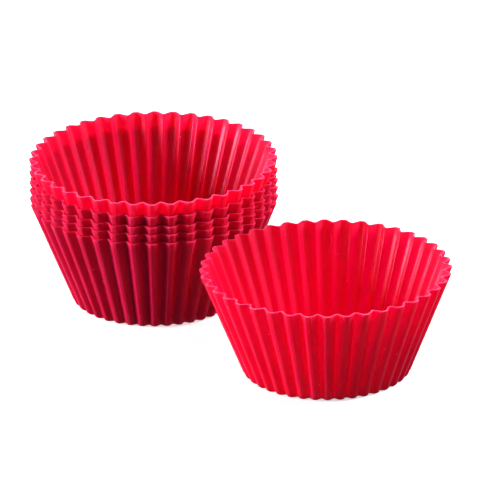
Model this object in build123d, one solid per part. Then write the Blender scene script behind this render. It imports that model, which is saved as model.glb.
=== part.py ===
from build123d import *

import math
import os

# Six identical fluted baking cups in soft silicone: five nested in a stack, and one standing beside it.
# Millimetres. The origin is the middle of the stack's base, on the table; +Z is up; +X runs to the loose cup.

# One cup
RIM_DIAMETER = 70.0          # over the flute crests, at the rim
BASE_DIAMETER = 46.4         # over the flute crests, where the wall meets the base
CUP_HEIGHT = 30.0
WALL_THICKNESS = 0.65        # square to the sloping wall
FLOOR_THICKNESS = 1.1
BASE_BEVEL = 0.9             # the softened edge all round the base

# Flutes: round crests and tighter round valleys, joined by straight flanks
FLUTE_COUNT = 40
RIM_FLUTE_DEPTH = 1.9        # crest to valley, at the rim
BASE_FLUTE_DEPTH = 1.1       # crest to valley, at the base
CREST_ROUND_SHARE = 0.27     # crest radius as a share of the flute pitch
VALLEY_ROUND_SHARE = 0.14    # valley radius as a share of the flute pitch

# The set
SEAT_GAPS = (0.8, 0.6, 1.3, 2.0)   # how far each nested cup stands clear of the wall below it, bottom pair first
RIM_CLEARANCE = 1.0                # between the rims of the stack and of the loose cup
STACK_TURN = 2.6                   # degrees from +X to the first crest of every nested cup
LOOSE_TURN = 3.0                   # the same for the loose cup

# Worked out from the sizes above
WALL_RUN = (RIM_DIAMETER - BASE_DIAMETER) / 2
WALL_RISE = WALL_THICKNESS * math.hypot(WALL_RUN, CUP_HEIGHT) / WALL_RUN   # the wall's thickness, measured upwards
CUP_SPACING = RIM_DIAMETER + RIM_CLEARANCE
CUT_MARGIN = 1.0                   # how far the hollow's cutter stands out of the rim


def size_at(base_value, rim_value, height):
    """A size at one height of the wall, when it runs evenly from the base to the rim."""
    return base_value + (rim_value - base_value) * height / CUP_HEIGHT


def polar(radius, angle):
    """Point in the plane at a radius and an angle in radians."""
    return Vector(radius * math.cos(angle), radius * math.sin(angle))


def flute_outline(height, inset):
    """Closed fluted outline of the outer wall at a height, drawn in by an inset."""
    crest = size_at(BASE_DIAMETER, RIM_DIAMETER, height) / 2 - inset
    valley = crest - size_at(BASE_FLUTE_DEPTH, RIM_FLUTE_DEPTH, height)
    pitch = math.tau / FLUTE_COUNT
    crest_round = CREST_ROUND_SHARE * pitch * crest
    valley_round = VALLEY_ROUND_SHARE * pitch * crest

    # The flank is the line that touches the crest circle and the valley circle on opposite sides.
    crest_centre = polar(crest - crest_round, 0)
    valley_centre = polar(valley + valley_round, pitch / 2)
    between = valley_centre - crest_centre
    touch = math.atan2(between.Y, between.X) - math.acos((crest_round + valley_round) / between.length)
    crest_end = crest_centre + polar(crest_round, touch)
    valley_start = valley_centre - polar(valley_round, touch)

    crest_angle = math.atan2(crest_end.Y, crest_end.X)
    valley_angle = math.atan2(valley_start.Y, valley_start.X)
    edges = []
    for flute in range(FLUTE_COUNT):
        middle = flute * pitch
        crest_left = polar(crest_end.length, middle - crest_angle)
        crest_right = polar(crest_end.length, middle + crest_angle)
        valley_left = polar(valley_start.length, middle + valley_angle)
        valley_right = polar(valley_start.length, middle + pitch - valley_angle)
        next_crest = polar(crest_end.length, middle + pitch - crest_angle)
        edges.append(Edge.make_three_point_arc(crest_left, polar(crest, middle), crest_right))
        edges.append(Edge.make_line(crest_right, valley_left))
        edges.append(Edge.make_three_point_arc(valley_left, polar(valley, middle + pitch / 2), valley_right))
        edges.append(Edge.make_line(valley_right, next_crest))
    return Wire(edges)


def fluted_body(sections):
    """Solid through fluted outlines; each section is (place, outline height, inset)."""
    outlines = [Pos(0, 0, place) * flute_outline(height, inset) for place, height, inset in sections]
    return Solid.make_loft(outlines, ruled=True)


def make_cup():
    """One cup standing at the origin. The hollow is the outer shape raised by the wall, so cups nest."""
    outside = fluted_body([(0, 0, BASE_BEVEL), (BASE_BEVEL, BASE_BEVEL, 0), (CUP_HEIGHT, CUP_HEIGHT, 0)])
    top = CUP_HEIGHT + CUT_MARGIN
    hollow = fluted_body([(FLOOR_THICKNESS, FLOOR_THICKNESS - WALL_RISE, 0), (top, top - WALL_RISE, 0)])
    return outside.cut(hollow)


def cup_placements():
    """Name and place of every cup: the stack from the bottom up, then the loose cup."""
    placements = {}
    height = 0.0
    for number, gap in enumerate((None, *SEAT_GAPS), start=1):
        if gap is not None:
            height += WALL_RISE + gap
        placements[f"nested_cup_{number}"] = Pos(0, 0, height) * Rot(0, 0, STACK_TURN)
    placements["loose_cup"] = Pos(CUP_SPACING, 0, 0) * Rot(0, 0, LOOSE_TURN)
    return placements


def main():
    os.makedirs("parts", exist_ok=True)
    cup = make_cup()
    for name, place in cup_placements().items():
        export_step(place * cup, f"parts/{name}.step")


main()
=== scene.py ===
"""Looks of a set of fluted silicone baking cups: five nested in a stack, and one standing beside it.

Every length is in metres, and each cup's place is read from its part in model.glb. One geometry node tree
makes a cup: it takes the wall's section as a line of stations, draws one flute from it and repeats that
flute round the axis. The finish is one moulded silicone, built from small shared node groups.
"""

import logging
import math
from dataclasses import dataclass, field
from enum import Enum

import bpy
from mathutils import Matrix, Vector


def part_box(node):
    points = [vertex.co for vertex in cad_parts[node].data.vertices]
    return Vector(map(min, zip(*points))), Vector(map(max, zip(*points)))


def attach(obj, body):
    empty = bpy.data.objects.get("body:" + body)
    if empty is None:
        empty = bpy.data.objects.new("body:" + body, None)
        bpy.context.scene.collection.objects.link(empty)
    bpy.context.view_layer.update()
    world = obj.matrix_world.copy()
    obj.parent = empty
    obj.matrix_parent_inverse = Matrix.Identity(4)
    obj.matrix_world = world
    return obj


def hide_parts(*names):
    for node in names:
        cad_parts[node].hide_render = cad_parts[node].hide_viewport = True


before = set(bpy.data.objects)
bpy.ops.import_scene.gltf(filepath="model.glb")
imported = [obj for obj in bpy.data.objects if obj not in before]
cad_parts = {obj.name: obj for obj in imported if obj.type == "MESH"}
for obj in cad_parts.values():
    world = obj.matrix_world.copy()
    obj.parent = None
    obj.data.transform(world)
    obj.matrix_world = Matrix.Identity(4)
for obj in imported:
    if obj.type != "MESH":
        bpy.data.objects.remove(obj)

LOG = logging.getLogger("baking_cups")
MM = 0.001
Colour = tuple[float, float, float]
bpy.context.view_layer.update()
FLAT_DROP = 0.3 * MM  # up to this flute depth a surface counts as a flat disc
WALL_DROP = 1.0 * MM  # from this flute depth on it counts as wall
SEAM = 0.002 * MM  # points of neighbouring flutes this close are one
AXIS_REACH = 1.0 * MM  # inside this distance from the axis the sway fades out


class Body(Enum):
    """The six cups, named as the bodies that they ride on."""

    NESTED_1 = "nested_cup_1"
    NESTED_2 = "nested_cup_2"
    NESTED_3 = "nested_cup_3"
    NESTED_4 = "nested_cup_4"
    NESTED_5 = "nested_cup_5"
    LOOSE = "loose_cup"


class Slot(Enum):
    """The material slots."""

    RED_SILICONE = "red_silicone"


class Part(Enum):
    """Names of the numbers that a cup's mesh carries at every point."""

    FLUTE_DROP = "flute_drop"
    RIM_NEAR = "rim_near"
    CREST_NEAR = "crest_near"


# ---------------------------------------------------------------------------
# Node tree helper
# ---------------------------------------------------------------------------


@dataclass
class Wiring:
    """Adds nodes to one tree and links them.

    Args:
        tree: the node tree to fill.
    """

    tree: bpy.types.NodeTree

    def add(self, kind: str, **settings: object) -> bpy.types.Node:
        """Adds a node.

        Args:
            kind: the node's type name.
            settings: properties of the node, by name.

        Returns:
            The new node.
        """
        node = self.tree.nodes.new(kind)
        for name, value in settings.items():
            setattr(node, name, value)
        return node

    def feed(self, socket: bpy.types.NodeSocket, value: object) -> None:
        """Gives an input socket a link or a plain value.

        Args:
            socket: the input socket.
            value: an output socket to link, or the value to set.
        """
        if isinstance(value, bpy.types.NodeSocket):
            self.tree.links.new(value, socket)
        else:
            socket.default_value = value

    def math(self, operation: str, *values: object) -> bpy.types.NodeSocket:
        """Adds a Math node.

        Args:
            operation: the node's operation.
            values: its inputs, in order.

        Returns:
            The node's result.
        """
        node = self.add("ShaderNodeMath", operation=operation)
        for socket, value in zip(node.inputs, values):
            self.feed(socket, value)
        return node.outputs[0]

    def ramp(
        self, value: object, low: float, high: float, to_low: float = 0.0, to_high: float = 1.0
    ) -> bpy.types.NodeSocket:
        """Maps a value smoothly from one range to another.

        Args:
            value: the value to map.
            low: the value that gives to_low.
            high: the value that gives to_high.
            to_low: the result at low.
            to_high: the result at high.

        Returns:
            The mapped value.
        """
        node = self.add("ShaderNodeMapRange", interpolation_type="SMOOTHSTEP")
        for socket, number in zip(node.inputs, (value, low, high, to_low, to_high)):
            self.feed(socket, number)
        return node.outputs[0]

    def combine(self, x: object, y: object, z: object) -> bpy.types.NodeSocket:
        """Joins three numbers into a vector.

        Args:
            x: the first number.
            y: the second number.
            z: the third number.

        Returns:
            The vector.
        """
        node = self.add("ShaderNodeCombineXYZ")
        for socket, value in zip(node.inputs, (x, y, z)):
            self.feed(socket, value)
        return node.outputs[0]

    def split(self, vector: object) -> tuple[bpy.types.NodeSocket, ...]:
        """Splits a vector into its three numbers.

        Args:
            vector: the vector.

        Returns:
            Its X, Y and Z.
        """
        node = self.add("ShaderNodeSeparateXYZ")
        self.feed(node.inputs[0], vector)
        return tuple(node.outputs)

    def mix(self, share: object, first: object, second: object) -> bpy.types.NodeSocket:
        """Mixes two colours.

        Args:
            share: 0 gives the first, 1 the second.
            first: a colour or an output.
            second: a colour or an output.

        Returns:
            The mixed colour.
        """
        node = self.add("ShaderNodeMix", data_type="RGBA", clamp_factor=True)
        self.feed(node.inputs[0], share)
        self.feed(node.inputs[6], first)
        self.feed(node.inputs[7], second)
        return node.outputs[2]

    def noise(self, vector: object, size: object, detail: float) -> bpy.types.NodeSocket:
        """Adds smooth noise.

        Args:
            vector: the coordinates it reads.
            size: size of its features.
            detail: how many finer layers it has.

        Returns:
            The noise, about 0.5 on average.
        """
        node = self.add("ShaderNodeTexNoise")
        self.feed(node.inputs["Vector"], vector)
        self.feed(node.inputs["Scale"], self.math("DIVIDE", 1.0, size))
        self.feed(node.inputs["Detail"], detail)
        return node.outputs[0]

    def group(self, tree: bpy.types.NodeTree, vector: object, **values: float) -> bpy.types.Node:
        """Places a shared group.

        Args:
            tree: the group.
            vector: the coordinates it reads.
            values: its other inputs, by name.

        Returns:
            The group node.
        """
        node = self.add("ShaderNodeGroup", node_tree=tree)
        self.feed(node.inputs["Vector"], vector)
        for name, value in values.items():
            self.feed(node.inputs[name], value)
        return node


def open_group(kind: str, name: str, inputs: dict[str, tuple[str, object]], outputs: dict[str, str]) -> tuple:
    """Makes a node group with named sockets.

    Args:
        kind: "ShaderNodeTree" or "GeometryNodeTree".
        name: the group's name.
        inputs: each input's name with its socket type and default value.
        outputs: each output's name with its socket type.

    Returns:
        The group, its Wiring, its input node and its output node.
    """
    group = bpy.data.node_groups.new(name, kind)
    for socket_name, (socket_type, default) in inputs.items():
        socket = group.interface.new_socket(socket_name, in_out="INPUT", socket_type=socket_type)
        if default is not None:
            socket.default_value = default
    for socket_name, socket_type in outputs.items():
        group.interface.new_socket(socket_name, in_out="OUTPUT", socket_type=socket_type)
    wiring = Wiring(group)
    return group, wiring, wiring.add("NodeGroupInput"), wiring.add("NodeGroupOutput")


def open_material(name: str) -> tuple[bpy.types.Material, Wiring, bpy.types.Node]:
    """Makes a material with one Principled shader.

    Args:
        name: the material's name.

    Returns:
        The material, its Wiring and its shader.
    """
    material = bpy.data.materials.new(name)
    material.use_nodes = True
    return material, Wiring(material.node_tree), material.node_tree.nodes["Principled BSDF"]


# ---------------------------------------------------------------------------
# Geometry: one flute, repeated round the axis
# ---------------------------------------------------------------------------


@dataclass(frozen=True)
class Flutes:
    """The pleats of a cup's wall.

    Args:
        count: flutes round the cup.
        rim_depth: crest to valley at the rim.
        base_depth: crest to valley at the base.
        crest_half: half the flat crest land, as a share of the pitch.
        valley_half: half the valley floor, as a share of the pitch.
        crest_soft: how far the crest's corners are rounded, as a share of the depth.
        valley_soft: how far the valley's corners are rounded, as a share of the depth.
        steps: mesh steps across one flute.
    """

    count: int = 40
    rim_depth: float = 1.9 * MM
    base_depth: float = 1.1 * MM
    crest_half: float = 0.13
    valley_half: float = 0.06
    crest_soft: float = 0.24
    valley_soft: float = 0.32
    steps: int = 36


@dataclass(frozen=True)
class Station:
    """One point of the wall's section.

    Args:
        radius: distance from the axis over the flute crests.
        height: height over the cup's own base.
        drop: flute depth here.
        rim_near: 1 on the lip, 0 away from it.
    """

    radius: float
    height: float
    drop: float
    rim_near: float = 0.0


@dataclass(frozen=True)
class CupSection:
    """The closed section of a cup's wall, from under the base, round the lip, to the inside floor.

    Args:
        rim_radius: over the crests at the rim.
        base_radius: over the crests at the base.
        height: the cup's height.
        wall: wall thickness, square to the slope.
        floor: floor thickness.
        foot_radius: round edge under the wall.
        lip_rise: how far the lip rises over the wall's end.
        lip_square: 1 for a half-round lip, less for a squarer one.
        heel_radius: round corner between the inside floor and wall.
        lip_fade: how far below the lip the wall still counts as rim.
        turn_steps: steps round the foot and the heel.
        wall_steps: steps up a straight wall.
        lip_steps: steps over the lip.
        disc_rings: rings of a flat disc.
        flutes: the pleats.
    """

    rim_radius: float
    base_radius: float
    height: float
    wall: float = 0.65 * MM
    floor: float = 1.1 * MM
    foot_radius: float = 0.9 * MM
    lip_rise: float = 0.25 * MM
    lip_square: float = 0.4
    heel_radius: float = 0.9 * MM
    lip_fade: float = 0.6 * MM
    turn_steps: int = 5
    wall_steps: int = 12
    lip_steps: int = 12
    disc_rings: int = 4
    flutes: Flutes = field(default_factory=Flutes)

    @property
    def wall_rise(self) -> float:
        """The wall's thickness measured straight up."""
        run = self.rim_radius - self.base_radius
        return self.wall * math.hypot(run, self.height) / run

    def crest(self, level: float) -> float:
        """Crest radius of the outer wall at a level."""
        return self.base_radius + (self.rim_radius - self.base_radius) * level / self.height

    def depth(self, level: float) -> float:
        """Flute depth of the outer wall at a level."""
        flutes = self.flutes
        return flutes.base_depth + (flutes.rim_depth - flutes.base_depth) * level / self.height

    def station(self, level: float, height: float, inset: float = 0.0, rim_near: float = 0.0) -> Station:
        """A point of the wall.

        Args:
            level: the level of the outer wall whose outline it follows.
            height: the point's own height.
            inset: how far it is drawn in towards the axis.
            rim_near: 1 on the lip, 0 away from it.

        Returns:
            The station.
        """
        return Station(self.crest(level) - inset, height, self.depth(level), rim_near)

    def disc(self, edge: Station) -> list[Station]:
        """Flat disc from the axis out to a station, the flutes fading towards the axis.

        Args:
            edge: the station at the disc's edge, which isn't repeated.

        Returns:
            Stations from the axis outwards.
        """
        shares = [ring / self.disc_rings for ring in range(self.disc_rings)]
        return [Station(edge.radius * share, edge.height, edge.drop * share ** 3) for share in shares]

    def stations(self) -> list[Station]:
        """All stations, from the axis under the base to the axis on the inside floor."""
        top = self.height - self.lip_rise
        foot = self.turn(self.foot_radius, 0.0, 0.0)
        outside = self.wall_run(self.foot_radius, top, 0.0)
        inside = self.wall_run(self.floor + self.heel_radius, top, -self.wall_rise)[::-1]
        heel = self.turn(self.heel_radius, self.floor, -self.wall_rise)[::-1]
        under = self.disc(foot[0])
        above = self.disc(heel[-1])[::-1]
        return [*under, *foot, *outside[1:], *self.lip(top), *inside, *heel[1:], *above]

    def lip(self, top: float) -> list[Station]:
        """Stations over the lip.

        Args:
            top: height of the wall's end, where the lip starts.

        Returns:
            The stations between the outer and the inner wall.
        """
        lip = []
        for step in range(1, self.lip_steps):
            angle = math.pi * step / self.lip_steps
            side = math.copysign(abs(math.cos(angle)) ** self.lip_square, math.cos(angle))
            level = top - self.wall_rise * (1 - side) / 2
            rise = self.lip_rise * math.sin(angle) ** self.lip_square
            lip.append(self.station(level, top + rise, 0.0, 1.0))
        return lip

    def turn(self, radius: float, height: float, shift: float) -> list[Station]:
        """Stations of a round edge between a flat disc and the wall.

        Args:
            radius: the edge's radius.
            height: height of the disc.
            shift: level of the wall's outline at height zero.

        Returns:
            The stations, from the disc to the wall.
        """
        turn = []
        for step in range(self.turn_steps + 1):
            angle = step / self.turn_steps * math.pi / 2
            rise = height + radius * (1 - math.cos(angle))
            turn.append(self.station(rise + shift, rise, radius * (1 - math.sin(angle))))
        return turn

    def wall_run(self, low: float, high: float, shift: float) -> list[Station]:
        """Stations up a straight run of wall.

        Args:
            low: height of the first.
            high: height of the last.
            shift: level of the wall's outline at height zero.

        Returns:
            The stations, upwards.
        """
        run = []
        for step in range(self.wall_steps + 1):
            height = low + (high - low) * step / self.wall_steps
            near = max(0.0, (height - high) / self.lip_fade + 1)
            run.append(self.station(height + shift, height, 0.0, near ** 2))
        return run

    def line(self, name: str) -> bpy.types.Object:
        """The section as a line of points for the geometry nodes.

        Args:
            name: name of the object.

        Returns:
            An object with one vertex for each station.
        """
        stations = self.stations()
        mesh = bpy.data.meshes.new(name)
        edges = [(index, index + 1) for index in range(len(stations) - 1)]
        mesh.from_pydata([(s.radius, 0.0, s.height) for s in stations], edges, [])
        for attribute, values in (
            (Part.FLUTE_DROP, [s.drop for s in stations]),
            (Part.RIM_NEAR, [s.rim_near for s in stations]),
        ):
            layer = mesh.attributes.new(attribute.value, "FLOAT", "POINT")
            layer.data.foreach_set("value", values)
        thing = bpy.data.objects.new(name, mesh)
        bpy.context.scene.collection.objects.link(thing)
        return thing


class FluteTree:
    """Geometry nodes that turn a section line into a closed fluted cup.

    Args:
        INPUTS: the tree's inputs, each with its socket type and default value.
    """

    INPUTS: dict[str, tuple[str, object]] = {
        "Section": ("NodeSocketGeometry", None),
        "Flutes": ("NodeSocketInt", 40),
        "Steps": ("NodeSocketInt", 36),
        "Crest Half": ("NodeSocketFloat", 0.2),
        "Valley Half": ("NodeSocketFloat", 0.05),
        "Crest Soft": ("NodeSocketFloat", 0.2),
        "Valley Soft": ("NodeSocketFloat", 0.4),
        "Turn": ("NodeSocketFloat", 0.0),
        "Place": ("NodeSocketVector", (0.0, 0.0, 0.0)),
        "Sway": ("NodeSocketFloat", 0.0),
        "Sway Size": ("NodeSocketFloat", 0.03),
        "Seed": ("NodeSocketFloat", 0.0),
        "Material": ("NodeSocketMaterial", None),
    }

    def __init__(self) -> None:
        """Builds the tree."""
        self.tree, self.wiring, self.given, self.out = open_group(
            "GeometryNodeTree", "fluted_cup", self.INPUTS, {"Cup": "NodeSocketGeometry"}
        )
        strip = self._flute_strip()
        cup = self._repeat(strip)
        self._finish(cup)

    def _given(self, name: str) -> bpy.types.NodeSocket:
        """An input of the tree, by name."""
        return self.given.outputs[name]

    def _sampled(
        self, kind: str, value: bpy.types.NodeSocket, index: bpy.types.NodeSocket
    ) -> bpy.types.NodeSocket:
        """Reads a value of the section line.

        Args:
            kind: the value's data type.
            value: the field to read on the section.
            index: the station's number.

        Returns:
            The sampled value.
        """
        node = self.wiring.add("GeometryNodeSampleIndex", data_type=kind, domain="POINT", clamp=True)
        self.wiring.feed(node.inputs["Geometry"], self._given("Section"))
        self.wiring.feed(node.inputs["Value"], value)
        self.wiring.feed(node.inputs["Index"], index)
        return node.outputs[0]

    def _flute_shape(self, across: bpy.types.NodeSocket) -> bpy.types.NodeSocket:
        """Depth share across one flute: 0 on the crest land, 1 in the valley, with soft corners.

        Args:
            across: place in the flute, from -0.5 to 0.5, crest in the middle.

        Returns:
            The share.
        """
        w = self.wiring
        away = w.math("ABSOLUTE", across)
        past_crest = w.math("SUBTRACT", away, self._given("Crest Half"))
        valley_edge = w.math("SUBTRACT", 0.5, self._given("Valley Half"))
        raw = w.math("DIVIDE", past_crest, w.math("SUBTRACT", valley_edge, self._given("Crest Half")))
        crest = w.math("SMOOTH_MAX", raw, 0.0, self._given("Crest Soft"))
        return w.math("SMOOTH_MIN", crest, 1.0, self._given("Valley Soft"))

    def _attribute(self, part: Part) -> bpy.types.NodeSocket:
        """Reads a named number of the section line.

        Args:
            part: name of the number.

        Returns:
            The number, as a field.
        """
        node = self.wiring.add("GeometryNodeInputNamedAttribute", data_type="FLOAT")
        node.inputs["Name"].default_value = part.value
        return node.outputs["Attribute"]

    def _flute_strip(self) -> bpy.types.NodeSocket:
        """One flute, from under the base to the inside floor, with its crest on +X."""
        w = self.wiring
        size = w.add("GeometryNodeAttributeDomainSize", component="MESH")
        w.feed(size.inputs[0], self._given("Section"))
        stations = size.outputs["Point Count"]
        grid = w.add("GeometryNodeMeshGrid")
        w.feed(grid.inputs["Size X"], 1.0)
        w.feed(grid.inputs["Size Y"], 1.0)
        w.feed(grid.inputs["Vertices X"], stations)
        w.feed(grid.inputs["Vertices Y"], w.math("ADD", self._given("Steps"), 1.0))
        position = w.add("GeometryNodeInputPosition").outputs[0]
        along, across, _ = w.split(position)
        last = w.math("SUBTRACT", stations, 1.0)
        index = w.math("ROUND", w.math("MULTIPLY", w.math("ADD", along, 0.5), last))
        radius, _, height = w.split(self._sampled("FLOAT_VECTOR", position, index))
        drop = self._sampled("FLOAT", self._attribute(Part.FLUTE_DROP), index)
        rim = self._sampled("FLOAT", self._attribute(Part.RIM_NEAR), index)
        shape = self._flute_shape(across)
        kept = w.math("SUBTRACT", radius, w.math("MULTIPLY", drop, shape))
        angle = w.math("DIVIDE", w.math("MULTIPLY", across, math.tau), self._given("Flutes"))
        x = w.math("MULTIPLY", kept, w.math("COSINE", angle))
        y = w.math("MULTIPLY", kept, w.math("SINE", angle))
        on_wall = w.ramp(drop, FLAT_DROP, WALL_DROP)
        crest = w.math("MULTIPLY", w.math("SUBTRACT", 1.0, shape), on_wall)
        stored = self._store(grid.outputs["Mesh"], Part.RIM_NEAR, rim)
        stored = self._store(stored, Part.CREST_NEAR, crest)
        move = w.add("GeometryNodeSetPosition")
        w.feed(move.inputs["Geometry"], stored)
        w.feed(move.inputs["Position"], w.combine(x, y, height))
        return move.outputs[0]

    def _store(
        self, mesh: bpy.types.NodeSocket, part: Part, value: bpy.types.NodeSocket
    ) -> bpy.types.NodeSocket:
        """Stores a number at every point of a mesh.

        Args:
            mesh: the mesh.
            part: name of the number.
            value: the number.

        Returns:
            The mesh with the number.
        """
        node = self.wiring.add("GeometryNodeStoreNamedAttribute", data_type="FLOAT", domain="POINT")
        self.wiring.feed(node.inputs["Geometry"], mesh)
        self.wiring.feed(node.inputs["Name"], part.value)
        self.wiring.feed(node.inputs["Value"], value)
        return node.outputs[0]

    def _repeat(self, strip: bpy.types.NodeSocket) -> bpy.types.NodeSocket:
        """Stands the flute at every pitch round the axis, joins the seams and faces the skin outwards.

        Args:
            strip: one flute.

        Returns:
            The closed cup, standing at the origin.
        """
        w = self.wiring
        posts = w.add("GeometryNodeMeshLine")
        w.feed(posts.inputs["Count"], self._given("Flutes"))
        w.feed(posts.inputs["Offset"], (0.0, 0.0, 0.0))
        pitch = w.math("DIVIDE", math.tau, self._given("Flutes"))
        index = w.add("GeometryNodeInputIndex").outputs[0]
        turned = w.math("ADD", w.math("MULTIPLY", index, pitch), self._given("Turn"))
        copies = w.add("GeometryNodeInstanceOnPoints")
        w.feed(copies.inputs["Points"], posts.outputs[0])
        w.feed(copies.inputs["Instance"], strip)
        w.feed(copies.inputs["Rotation"], w.combine(0.0, 0.0, turned))
        real = w.add("GeometryNodeRealizeInstances")
        w.feed(real.inputs[0], copies.outputs[0])
        merge = w.add("GeometryNodeMergeByDistance")
        w.feed(merge.inputs["Geometry"], real.outputs[0])
        w.feed(merge.inputs["Distance"], SEAM)
        outward = w.add("GeometryNodeFlipFaces")
        w.feed(outward.inputs["Mesh"], merge.outputs[0])
        return outward.outputs[0]

    def _finish(self, cup: bpy.types.NodeSocket) -> None:
        """Lets the soft wall sway inwards a little, sets the cup in its place and gives it its material.

        Args:
            cup: the closed cup at the origin.
        """
        w = self.wiring
        position = w.add("GeometryNodeInputPosition").outputs[0]
        x, y, z = w.split(position)
        noise = w.add("ShaderNodeTexNoise", noise_dimensions="4D")
        w.feed(noise.inputs["Vector"], w.combine(x, y, w.math("MULTIPLY", z, 0.3)))
        w.feed(noise.inputs["W"], self._given("Seed"))
        w.feed(noise.inputs["Scale"], w.math("DIVIDE", 1.0, self._given("Sway Size")))
        w.feed(noise.inputs["Detail"], 0.0)
        pull = w.math("MULTIPLY", noise.outputs[0], self._given("Sway"))
        reach = w.math("MAXIMUM", self._reach(x, y), AXIS_REACH)
        share = w.math("SUBTRACT", 1.0, w.math("DIVIDE", pull, reach))
        swayed = w.combine(w.math("MULTIPLY", x, share), w.math("MULTIPLY", y, share), z)
        move = w.add("GeometryNodeSetPosition")
        w.feed(move.inputs["Geometry"], cup)
        w.feed(move.inputs["Position"], swayed)
        w.feed(move.inputs["Offset"], self._given("Place"))
        smooth = w.add("GeometryNodeSetShadeSmooth")
        w.feed(smooth.inputs[0], move.outputs[0])
        paint = w.add("GeometryNodeSetMaterial")
        w.feed(paint.inputs["Geometry"], smooth.outputs[0])
        w.feed(paint.inputs["Material"], self._given("Material"))
        w.feed(self.out.inputs[0], paint.outputs[0])

    def _reach(self, x: bpy.types.NodeSocket, y: bpy.types.NodeSocket) -> bpy.types.NodeSocket:
        """Distance from the axis."""
        w = self.wiring
        return w.math("SQRT", w.math("ADD", w.math("MULTIPLY", x, x), w.math("MULTIPLY", y, y)))

    def grow(self, section: bpy.types.Object, name: str, values: dict[str, object]) -> bpy.types.Object:
        """Runs the tree on a section line and keeps the result as a plain mesh.

        Args:
            section: the section line, which is used up.
            name: name of the new piece.
            values: the tree's inputs, by name.

        Returns:
            The piece, at the origin, with its place in its mesh.
        """
        modifier = section.modifiers.new("flutes", "NODES")
        modifier.node_group = self.tree
        identifiers = {item.name: item.identifier for item in self.tree.interface.items_tree}
        for key, value in values.items():
            modifier[identifiers[key]] = value
        depsgraph = bpy.context.evaluated_depsgraph_get()
        mesh = bpy.data.meshes.new_from_object(section.evaluated_get(depsgraph), depsgraph=depsgraph)
        section.modifiers.remove(modifier)
        bpy.data.objects.remove(section)
        mesh.name = name
        piece = bpy.data.objects.new(name, mesh)
        bpy.context.scene.collection.objects.link(piece)
        return piece


# ---------------------------------------------------------------------------
# Finishes
# ---------------------------------------------------------------------------


class FinishGroups:
    """Shader node groups that the finishes share, each built once."""

    def __init__(self) -> None:
        """Builds the groups."""
        self.grain = self._grain()
        self.patches = self._patches()
        self.specks = self._specks()

    def _grain(self) -> bpy.types.NodeTree:
        """Fine moulded grain: a height and a mask, from noise at two sizes."""
        group, w, given, out = open_group(
            "ShaderNodeTree",
            "moulded_grain",
            {
                "Vector": ("NodeSocketVector", None),
                "Size": ("NodeSocketFloat", 0.4 * MM),
                "Coarse": ("NodeSocketFloat", 4.0),
            },
            {"Height": "NodeSocketFloat", "Mask": "NodeSocketFloat"},
        )
        vector, size = given.outputs["Vector"], given.outputs["Size"]
        fine = w.noise(vector, size, 3.0)
        coarse = w.noise(vector, w.math("MULTIPLY", size, given.outputs["Coarse"]), 2.0)
        blend = w.math("ADD", w.math("MULTIPLY", fine, 0.6), w.math("MULTIPLY", coarse, 0.4))
        w.feed(out.inputs["Height"], blend)
        w.feed(out.inputs["Mask"], w.ramp(fine, 0.35, 0.65))
        return group

    def _patches(self) -> bpy.types.NodeTree:
        """Broad uneven patches, such as handling marks, as a mask from 0 to 1."""
        group, w, given, out = open_group(
            "ShaderNodeTree",
            "broad_patches",
            {"Vector": ("NodeSocketVector", None), "Size": ("NodeSocketFloat", 20 * MM)},
            {"Mask": "NodeSocketFloat"},
        )
        noise = w.noise(given.outputs["Vector"], given.outputs["Size"], 4.0)
        w.feed(out.inputs["Mask"], w.ramp(noise, 0.3, 0.7))
        return group

    def _specks(self) -> bpy.types.NodeTree:
        """Sparse small specks of lint, as a mask."""
        group, w, given, out = open_group(
            "ShaderNodeTree",
            "lint_specks",
            {
                "Vector": ("NodeSocketVector", None),
                "Spacing": ("NodeSocketFloat", 4 * MM),
                "Radius": ("NodeSocketFloat", 0.06),
            },
            {"Mask": "NodeSocketFloat"},
        )
        cells = w.add("ShaderNodeTexVoronoi", feature="F1")
        w.feed(cells.inputs["Vector"], given.outputs["Vector"])
        w.feed(cells.inputs["Scale"], w.math("DIVIDE", 1.0, given.outputs["Spacing"]))
        chance, _, _ = w.split(cells.outputs["Color"])
        few = w.math("GREATER_THAN", chance, 0.7)
        near = w.math("LESS_THAN", cells.outputs["Distance"], given.outputs["Radius"])
        w.feed(out.inputs["Mask"], w.math("MULTIPLY", few, near))
        return group


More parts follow.
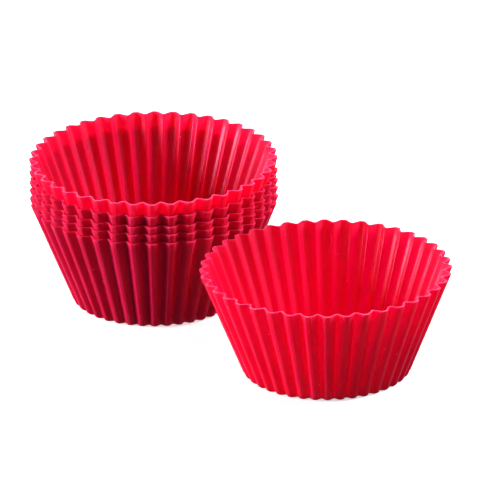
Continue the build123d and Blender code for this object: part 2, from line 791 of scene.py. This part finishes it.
@dataclass(frozen=True)
class SiliconeFinish:
    """Moulded red silicone, satin and finely grained, with a painted highlight on the crests and the lip.

    Args:
        name: name of the material.
        colour: the body colour, linear.
        deep: the colour of the darker patches.
        pale: the colour of the painted highlight on the lip and the crests.
        speck: the colour of lint.
        patch: size of the patches.
        patch_share: how much of the deep colour they show.
        crest_highlight_share: how much of the painted highlight colour the crests show.
        lip_highlight_share: how much of the painted highlight colour the lip shows.
        speck_share: how much of the lint's colour shows.
        roughness: roughness of the smooth areas.
        rough_grain: how much the grain adds to it.
        rough_patch: how much the patches add to it.
        rough_lip: how much the lip adds to it.
        grain: size of the grain.
        bump: height of the grain.
        index: index of refraction.
        shine_tint: the colour of highlights.
        glow: share of light that goes under the skin.
        glow_reach: how far it goes, by colour.
        glow_scale: the length that the reach is a share of.
        bloom: strength of the dusty sheen.
        bloom_spread: how wide the sheen spreads.
        bloom_tint: the colour of the sheen.
    """

    name: str = "red_silicone_moulded"
    colour: Colour = (0.91, 0.0003, 0.054)
    deep: Colour = (0.82, 0.0003, 0.049)
    pale: Colour = (0.95, 0.06, 0.14)
    speck: Colour = (0.90, 0.35, 0.38)
    patch: float = 14 * MM
    patch_share: float = 0.6
    crest_highlight_share: float = 0.18
    lip_highlight_share: float = 0.12
    speck_share: float = 0.5
    roughness: float = 0.30
    rough_grain: float = 0.10
    rough_patch: float = 0.10
    rough_lip: float = 0.32
    grain: float = 0.45 * MM
    bump: float = 0.03 * MM
    index: float = 1.43
    shine_tint: Colour = (1.0, 0.55, 0.9)
    glow: float = 1.0
    glow_reach: Colour = (1.0, 0.3, 0.6)
    glow_scale: float = 2.4 * MM
    bloom: float = 0.08
    bloom_spread: float = 0.35
    bloom_tint: Colour = (1.0, 0.35, 0.75)

    def make(self, groups: FinishGroups) -> bpy.types.Material:
        """Builds the material.

        Args:
            groups: the shared node groups.

        Returns:
            The material.
        """
        material, w, shader = open_material(self.name)
        place = w.add("ShaderNodeTexCoord").outputs["Object"]
        grain = w.group(groups.grain, place, Size=self.grain)
        patches = w.group(groups.patches, place, Size=self.patch).outputs["Mask"]
        rim = self._attribute(w, Part.RIM_NEAR)
        self._colour(w, shader, w.group(groups.specks, place).outputs["Mask"], patches, rim)
        self._surface(w, shader, grain, patches, rim)
        shader.inputs["IOR"].default_value = self.index
        shader.inputs["Subsurface Weight"].default_value = self.glow
        shader.inputs["Subsurface Radius"].default_value = self.glow_reach
        shader.inputs["Subsurface Scale"].default_value = self.glow_scale
        shader.inputs["Specular IOR Level"].default_value = 0.5
        shader.inputs["Specular Tint"].default_value = (*self.shine_tint, 1.0)
        shader.inputs["Sheen Weight"].default_value = self.bloom
        shader.inputs["Sheen Roughness"].default_value = self.bloom_spread
        shader.inputs["Sheen Tint"].default_value = (*self.bloom_tint, 1.0)
        return material

    def _colour(
        self,
        w: Wiring,
        shader: bpy.types.Node,
        specks: bpy.types.NodeSocket,
        patches: bpy.types.NodeSocket,
        rim: bpy.types.NodeSocket,
    ) -> None:
        """Wires the base colour, with a painted highlight on the crests and the lip.

        Args:
            w: the material's wiring.
            shader: the material's shader.
            specks: the lint's mask.
            patches: the patches' mask.
            rim: 1 on the lip, 0 away from it.
        """
        tone = w.mix(w.math("MULTIPLY", patches, self.patch_share), (*self.colour, 1), (*self.deep, 1))
        # Painted highlight: the pale colour is painted along the crest lands, weaker on the patches.
        crest = w.ramp(self._attribute(w, Part.CREST_NEAR), 0.55, 0.95, 0.0, self.crest_highlight_share)
        crest_highlight = w.math("MULTIPLY", crest, w.ramp(patches, 0.0, 1.0, 1.0, 0.4))
        # Painted highlight: the pale colour is also painted on the lip.
        highlight_share = w.math("ADD", crest_highlight, w.math("MULTIPLY", rim, self.lip_highlight_share))
        highlighted = w.mix(highlight_share, tone, (*self.pale, 1))
        linted = w.mix(w.math("MULTIPLY", specks, self.speck_share), highlighted, (*self.speck, 1))
        w.feed(shader.inputs["Base Color"], linted)

    def _surface(
        self,
        w: Wiring,
        shader: bpy.types.Node,
        grain: bpy.types.Node,
        patches: bpy.types.NodeSocket,
        rim: bpy.types.NodeSocket,
    ) -> None:
        """Wires the roughness and the bump.

        Args:
            w: the material's wiring.
            shader: the material's shader.
            grain: the grain's group node.
            patches: the patches' mask.
            rim: 1 on the lip, 0 away from it.
        """
        rough = self.roughness
        for mask, share in (
            (grain.outputs["Mask"], self.rough_grain),
            (patches, self.rough_patch),
            (rim, self.rough_lip),
        ):
            rough = w.math("ADD", rough, w.math("MULTIPLY", mask, share))
        w.feed(shader.inputs["Roughness"], rough)
        bump = w.add("ShaderNodeBump")
        w.feed(bump.inputs["Strength"], 1.0)
        w.feed(bump.inputs["Distance"], self.bump)
        w.feed(bump.inputs["Height"], grain.outputs["Height"])
        w.feed(shader.inputs["Normal"], bump.outputs[0])

    @staticmethod
    def _attribute(w: Wiring, part: Part) -> bpy.types.NodeSocket:
        """A number that the mesh carries."""
        return w.add("ShaderNodeAttribute", attribute_name=part.value).outputs["Fac"]


@dataclass(frozen=True)
class PaperFinish:
    """Pale paper under the set, lit a little from behind so that shadows stay faint.

    Args:
        name: name of the material.
        colour: the body colour, linear.
        shade: the colour of the patches.
        patch: size of the patches.
        roughness: its roughness.
        light: strength of the light that comes through.
    """

    name: str = "pale_paper"
    colour: Colour = (0.93, 0.93, 0.93)
    shade: Colour = (0.91, 0.91, 0.915)
    patch: float = 300 * MM
    roughness: float = 0.9
    light: float = 0.6

    def make(self, groups: FinishGroups) -> bpy.types.Material:
        """Builds the material.

        Args:
            groups: the shared node groups.

        Returns:
            The material.
        """
        material, w, shader = open_material(self.name)
        place = w.add("ShaderNodeTexCoord").outputs["Object"]
        patches = w.group(groups.patches, place, Size=self.patch).outputs["Mask"]
        w.feed(shader.inputs["Base Color"], w.mix(patches, (*self.colour, 1), (*self.shade, 1)))
        shader.inputs["Roughness"].default_value = self.roughness
        shader.inputs["Emission Color"].default_value = (1.0, 1.0, 1.0, 1.0)
        shader.inputs["Emission Strength"].default_value = self.light
        return material


# ---------------------------------------------------------------------------
# The cups
# ---------------------------------------------------------------------------


@dataclass
class BakingCup:
    """One cup of the set.

    Args:
        body: the body it rides on, and the CAD node it stands for.
        turn: angle from +X to its first crest.
        seed: seed of the lean.
        base_share: base radius over rim radius.
        sway: how far its soft wall may lean in.
        sway_size: size of one lean along the wall.
    """

    body: Body
    turn: float
    seed: float
    base_share: float = 46.4 / 70.0
    sway: float = 0.12 * MM
    sway_size: float = 30 * MM

    def build(self, tree: FluteTree, material: bpy.types.Material) -> bpy.types.Object:
        """Builds the cup in its place and dresses it.

        Args:
            tree: the geometry nodes.
            material: the cup's finish.

        Returns:
            The finished piece.
        """
        low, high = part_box(self.body.value)
        centre = (low + high) / 2
        rim_radius = min(high.x - low.x, high.y - low.y) / 2
        section = CupSection(rim_radius, rim_radius * self.base_share, high.z - low.z)
        flutes = section.flutes
        piece = tree.grow(
            section.line(f"{self.body.value}_section"),
            f"{self.body.value}_moulding",
            {
                "Flutes": flutes.count,
                "Steps": flutes.steps,
                "Crest Half": flutes.crest_half,
                "Valley Half": flutes.valley_half,
                "Crest Soft": flutes.crest_soft,
                "Valley Soft": flutes.valley_soft,
                "Turn": self.turn,
                "Place": (centre.x, centre.y, low.z),
                "Sway": self.sway,
                "Sway Size": self.sway_size,
                "Seed": self.seed,
                "Material": material,
            },
        )
        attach(piece, self.body.value)
        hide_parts(self.body.value)
        LOG.info("%s: %d faces", piece.name, len(piece.data.polygons))
        return piece


@dataclass
class CupSet:
    """The whole set: the stack and the loose cup.

    Args:
        stack_turn: angle of the first crest of every nested cup.
        loose_turn: the same for the loose cup.
        stack_seed: seed of the nested cups' lean, one for all, so that they stay nested.
        loose_seed: seed of the loose cup's lean.
    """

    stack_turn: float = math.radians(2.6)
    loose_turn: float = math.radians(3.0)
    stack_seed: float = 3.0
    loose_seed: float = 11.0

    def build(self, groups: FinishGroups) -> list[bpy.types.Object]:
        """Builds every cup.

        Args:
            groups: the shared shader groups.

        Returns:
            The pieces.
        """
        tree = FluteTree()
        material = SiliconeFinish().make(groups)
        nested = [body for body in Body if body is not Body.LOOSE]
        cups = [BakingCup(body, self.stack_turn, self.stack_seed) for body in nested]
        cups.append(BakingCup(Body.LOOSE, self.loose_turn, self.loose_seed))
        return [cup.build(tree, material) for cup in cups]


# ---------------------------------------------------------------------------
# Studio
# ---------------------------------------------------------------------------


@dataclass(frozen=True)
class SoftBox:
    """A square area light that points at the set.

    Args:
        name: name of the light.
        bearing: degrees round the set from the camera's side.
        elevation: degrees above the floor.
        distance: from the set.
        width: side of its face.
        power: in watts.
        shine: share of it that highlights show.
    """

    name: str
    bearing: float
    elevation: float
    distance: float
    width: float
    power: float
    shine: float = 1.0

    def hang(self, aim: Vector, camera_azimuth: float) -> bpy.types.Object:
        """Hangs the light.

        Args:
            aim: the point it faces.
            camera_azimuth: the camera's direction, which the bearing starts from.

        Returns:
            The light.
        """
        data = bpy.data.lights.new(self.name, "AREA")
        data.shape = "SQUARE"
        data.size = self.width
        data.energy = self.power
        data.specular_factor = self.shine
        light = bpy.data.objects.new(self.name, data)
        bpy.context.scene.collection.objects.link(light)
        place_facing(light, aim, camera_azimuth + self.bearing, self.elevation, self.distance)
        return light


def place_facing(
    thing: bpy.types.Object, aim: Vector, azimuth: float, elevation: float, distance: float, roll: float = 0.0
) -> None:
    """Stands a light or camera at a distance from a point and turns it to face it.

    Args:
        thing: the light or camera.
        aim: the point.
        azimuth: degrees round the upright axis; 0 looks along +Y.
        elevation: degrees above the floor.
        distance: from the point.
        roll: degrees about its own line of sight.
    """
    a, e = math.radians(azimuth), math.radians(elevation)
    away = Vector((math.sin(a) * math.cos(e), -math.cos(a) * math.cos(e), math.sin(e)))
    thing.location = aim + away * distance
    rotation = (-away).to_track_quat("-Z", "Y")
    thing.rotation_euler = rotation.to_euler()
    thing.rotation_euler.rotate_axis("Z", math.radians(roll))


@dataclass
class Studio:
    """Pale floor, soft light and the camera.

    Args:
        azimuth: the camera's direction round the set, degrees.
        elevation: the camera's height angle, degrees.
        distance: the camera's distance.
        lens: focal length over a 36 mm wide frame, in mm.
        aim: the point on the floor at the middle of the frame.
        roll: the camera's tilt about its line of sight, degrees.
        lit_point: the point that the lights face.
        floor_size: side of the floor.
        floor_drop: how far the floor lies under the set, so that no two faces coincide.
        room_low: light from the lower part of the room.
        room_high: light from the upper part.
        room_blue: blue of that light over its red.
        boxes: the lights.
    """

    azimuth: float = 48.0
    elevation: float = 22.88
    distance: float = 2.68
    lens: float = 677.9
    aim: tuple[float, float, float] = (-0.0056, 0.0410, 0.0)
    roll: float = -0.79
    lit_point: tuple[float, float, float] = (0.035, 0.0, 0.02)
    floor_size: float = 4.0
    floor_drop: float = 0.05 * MM
    room_low: float = 0.14
    room_high: float = 0.12
    room_blue: float = 1.05
    boxes: tuple[SoftBox, ...] = (
        SoftBox("left_box", bearing=-82, elevation=14, distance=0.9, width=0.3, power=11.5),
        SoftBox("back_box", bearing=180, elevation=18, distance=1.0, width=0.8, power=12.5, shine=0.05),
        SoftBox("right_box", bearing=92, elevation=42, distance=0.9, width=0.3, power=9.5),
    )

    def build(self, groups: FinishGroups) -> None:
        """Builds floor, lights, world and camera.

        Args:
            groups: the shared shader groups.
        """
        self._floor(groups)
        self._world()
        for box in self.boxes:
            box.hang(Vector(self.lit_point), self.azimuth)
        self._camera()

    def _floor(self, groups: FinishGroups) -> None:
        """Lays the floor just under the set.

        Args:
            groups: the shared shader groups.
        """
        half = self.floor_size / 2
        square = ((-half, -half), (half, -half), (half, half), (-half, half))
        corners = [(x, y, -self.floor_drop) for x, y in square]
        mesh = bpy.data.meshes.new("floor")
        mesh.from_pydata(corners, [], [(0, 1, 2, 3)])
        mesh.materials.append(PaperFinish().make(groups))
        floor = bpy.data.objects.new("floor", mesh)
        bpy.context.scene.collection.objects.link(floor)
        floor.visible_diffuse = False
        floor.visible_glossy = False
        floor.visible_transmission = False

    def _world(self) -> None:
        """Fills the room with even pale light, and shows colours as they are."""
        world = bpy.data.worlds.new("studio")
        world.use_nodes = True
        w = Wiring(world.node_tree)
        background = world.node_tree.nodes["Background"]
        direction = w.add("ShaderNodeTexCoord").outputs["Generated"]
        _, _, up = w.split(direction)
        glow = w.ramp(up, -0.1, 0.9, self.room_low, self.room_high)
        w.feed(background.inputs["Color"], w.combine(glow, glow, w.math("MULTIPLY", glow, self.room_blue)))
        background.inputs["Strength"].default_value = 1.0
        bpy.context.scene.world = world
        bpy.context.scene.view_settings.view_transform = "Standard"

    def _camera(self) -> None:
        """Sets up the camera."""
        data = bpy.data.cameras.new("camera")
        data.sensor_width = 36.0
        data.lens = self.lens
        data.clip_end = 20.0
        camera = bpy.data.objects.new("camera", data)
        bpy.context.scene.collection.objects.link(camera)
        place_facing(camera, Vector(self.aim), self.azimuth, self.elevation, self.distance, self.roll)
        bpy.context.scene.camera = camera


def main() -> None:
    """Builds the set, then the studio."""
    logging.basicConfig(level=logging.INFO, format="%(name)s: %(message)s")
    groups = FinishGroups()
    CupSet().build(groups)
    Studio().build(groups)


if __name__ == "__main__":
    main()
